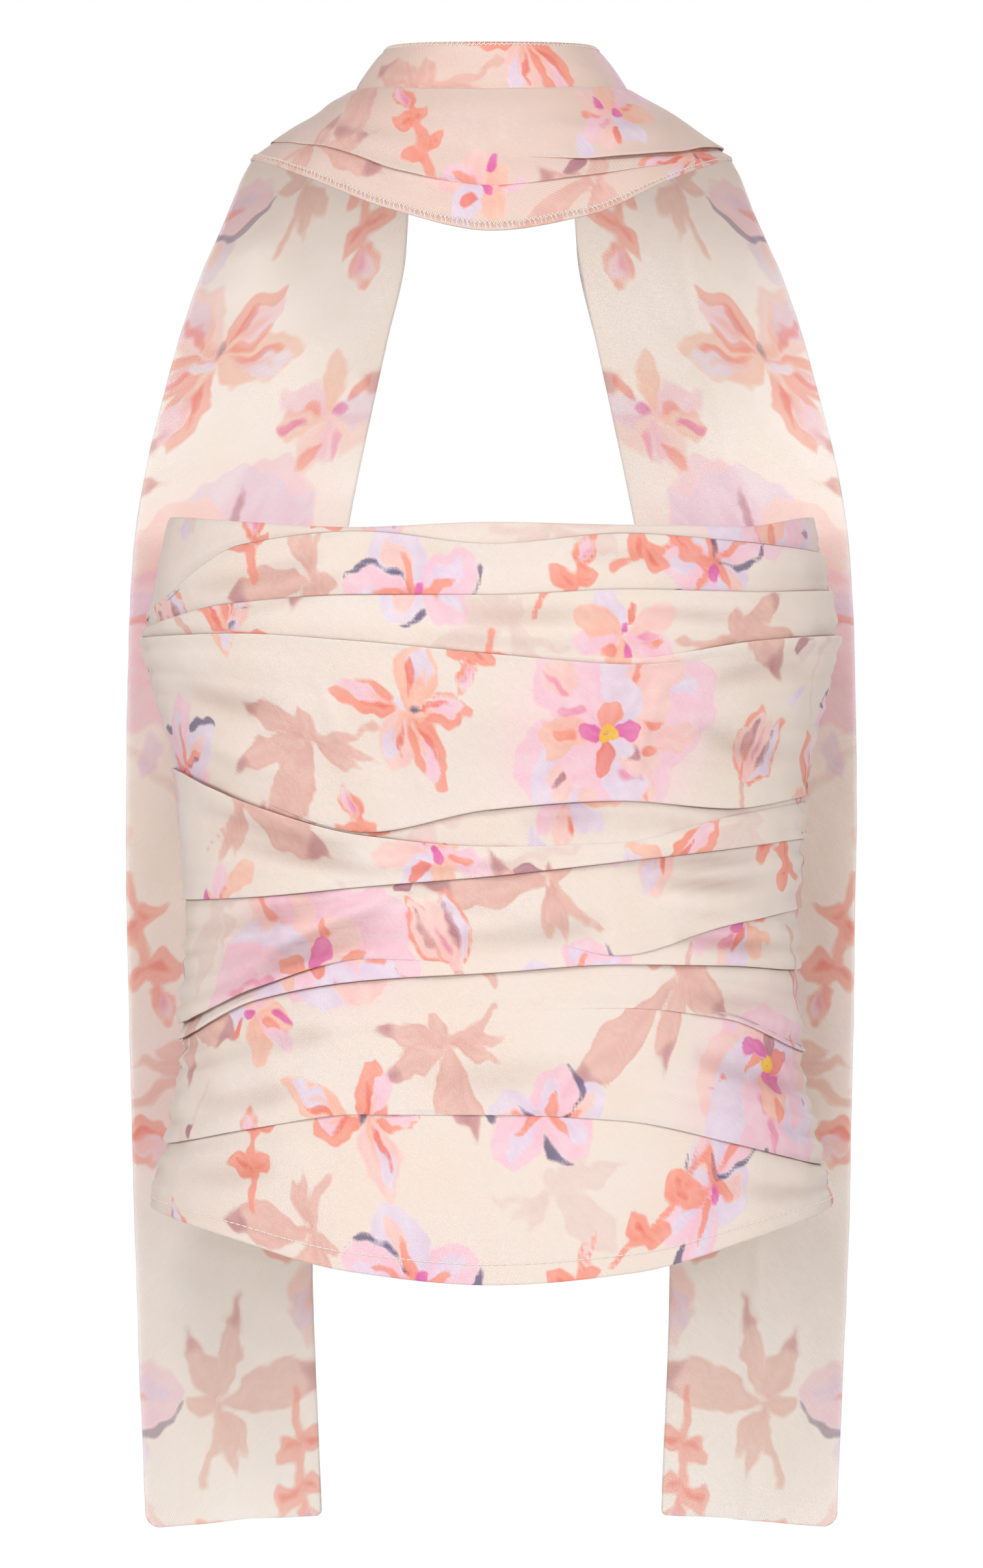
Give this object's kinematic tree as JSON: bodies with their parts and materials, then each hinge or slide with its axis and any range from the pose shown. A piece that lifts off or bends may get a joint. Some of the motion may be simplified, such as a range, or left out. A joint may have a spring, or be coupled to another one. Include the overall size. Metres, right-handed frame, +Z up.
{
  "type": "corset top with scarf",
  "caption": "Ruched strapless corset top with a curved front hem and a matching scarf wound at the neck, its ends hanging down the back.",
  "frame": {"origin": "middle of the bodice's hollow at the bust line, between the side seams, where the wearer's torso holds the garment", "axes": "+Z up, the front faces -Y, +X is the right side of a front view"},
  "size_m": [0.3204, 0.2182, 0.6424],
  "materials": {
    "bodice_cloth": "fine twill with a watercolour flower print",
    "scarf_cloth": "fine twill with a watercolour flower print",
    "zip_tape_cloth": "woven tape",
    "zip_metal": "lacquered to match the cloth"
  },
  "bodies": {
    "garment": {"bodice_front": "bodice_cloth", "bodice_back_left": "bodice_cloth", "bodice_back_right": "bodice_cloth", "zip_tape": "zip_tape_cloth", "zip_slider": "zip_metal", "scarf_neck_band": "scarf_cloth", "scarf_cowl": "scarf_cloth", "scarf_tail_left": "scarf_cloth", "scarf_tail_right": "scarf_cloth"},
    "pull": {"zip_pull": "zip_metal"}
  },
  "joints": [
    {"name": "pull_swing", "type": "hinge", "parent": "garment", "child": "pull", "pos_m": [0, 0.08964, 0.039], "axis": [1, 0, 0], "range_deg": [0, 165]}
  ]
}
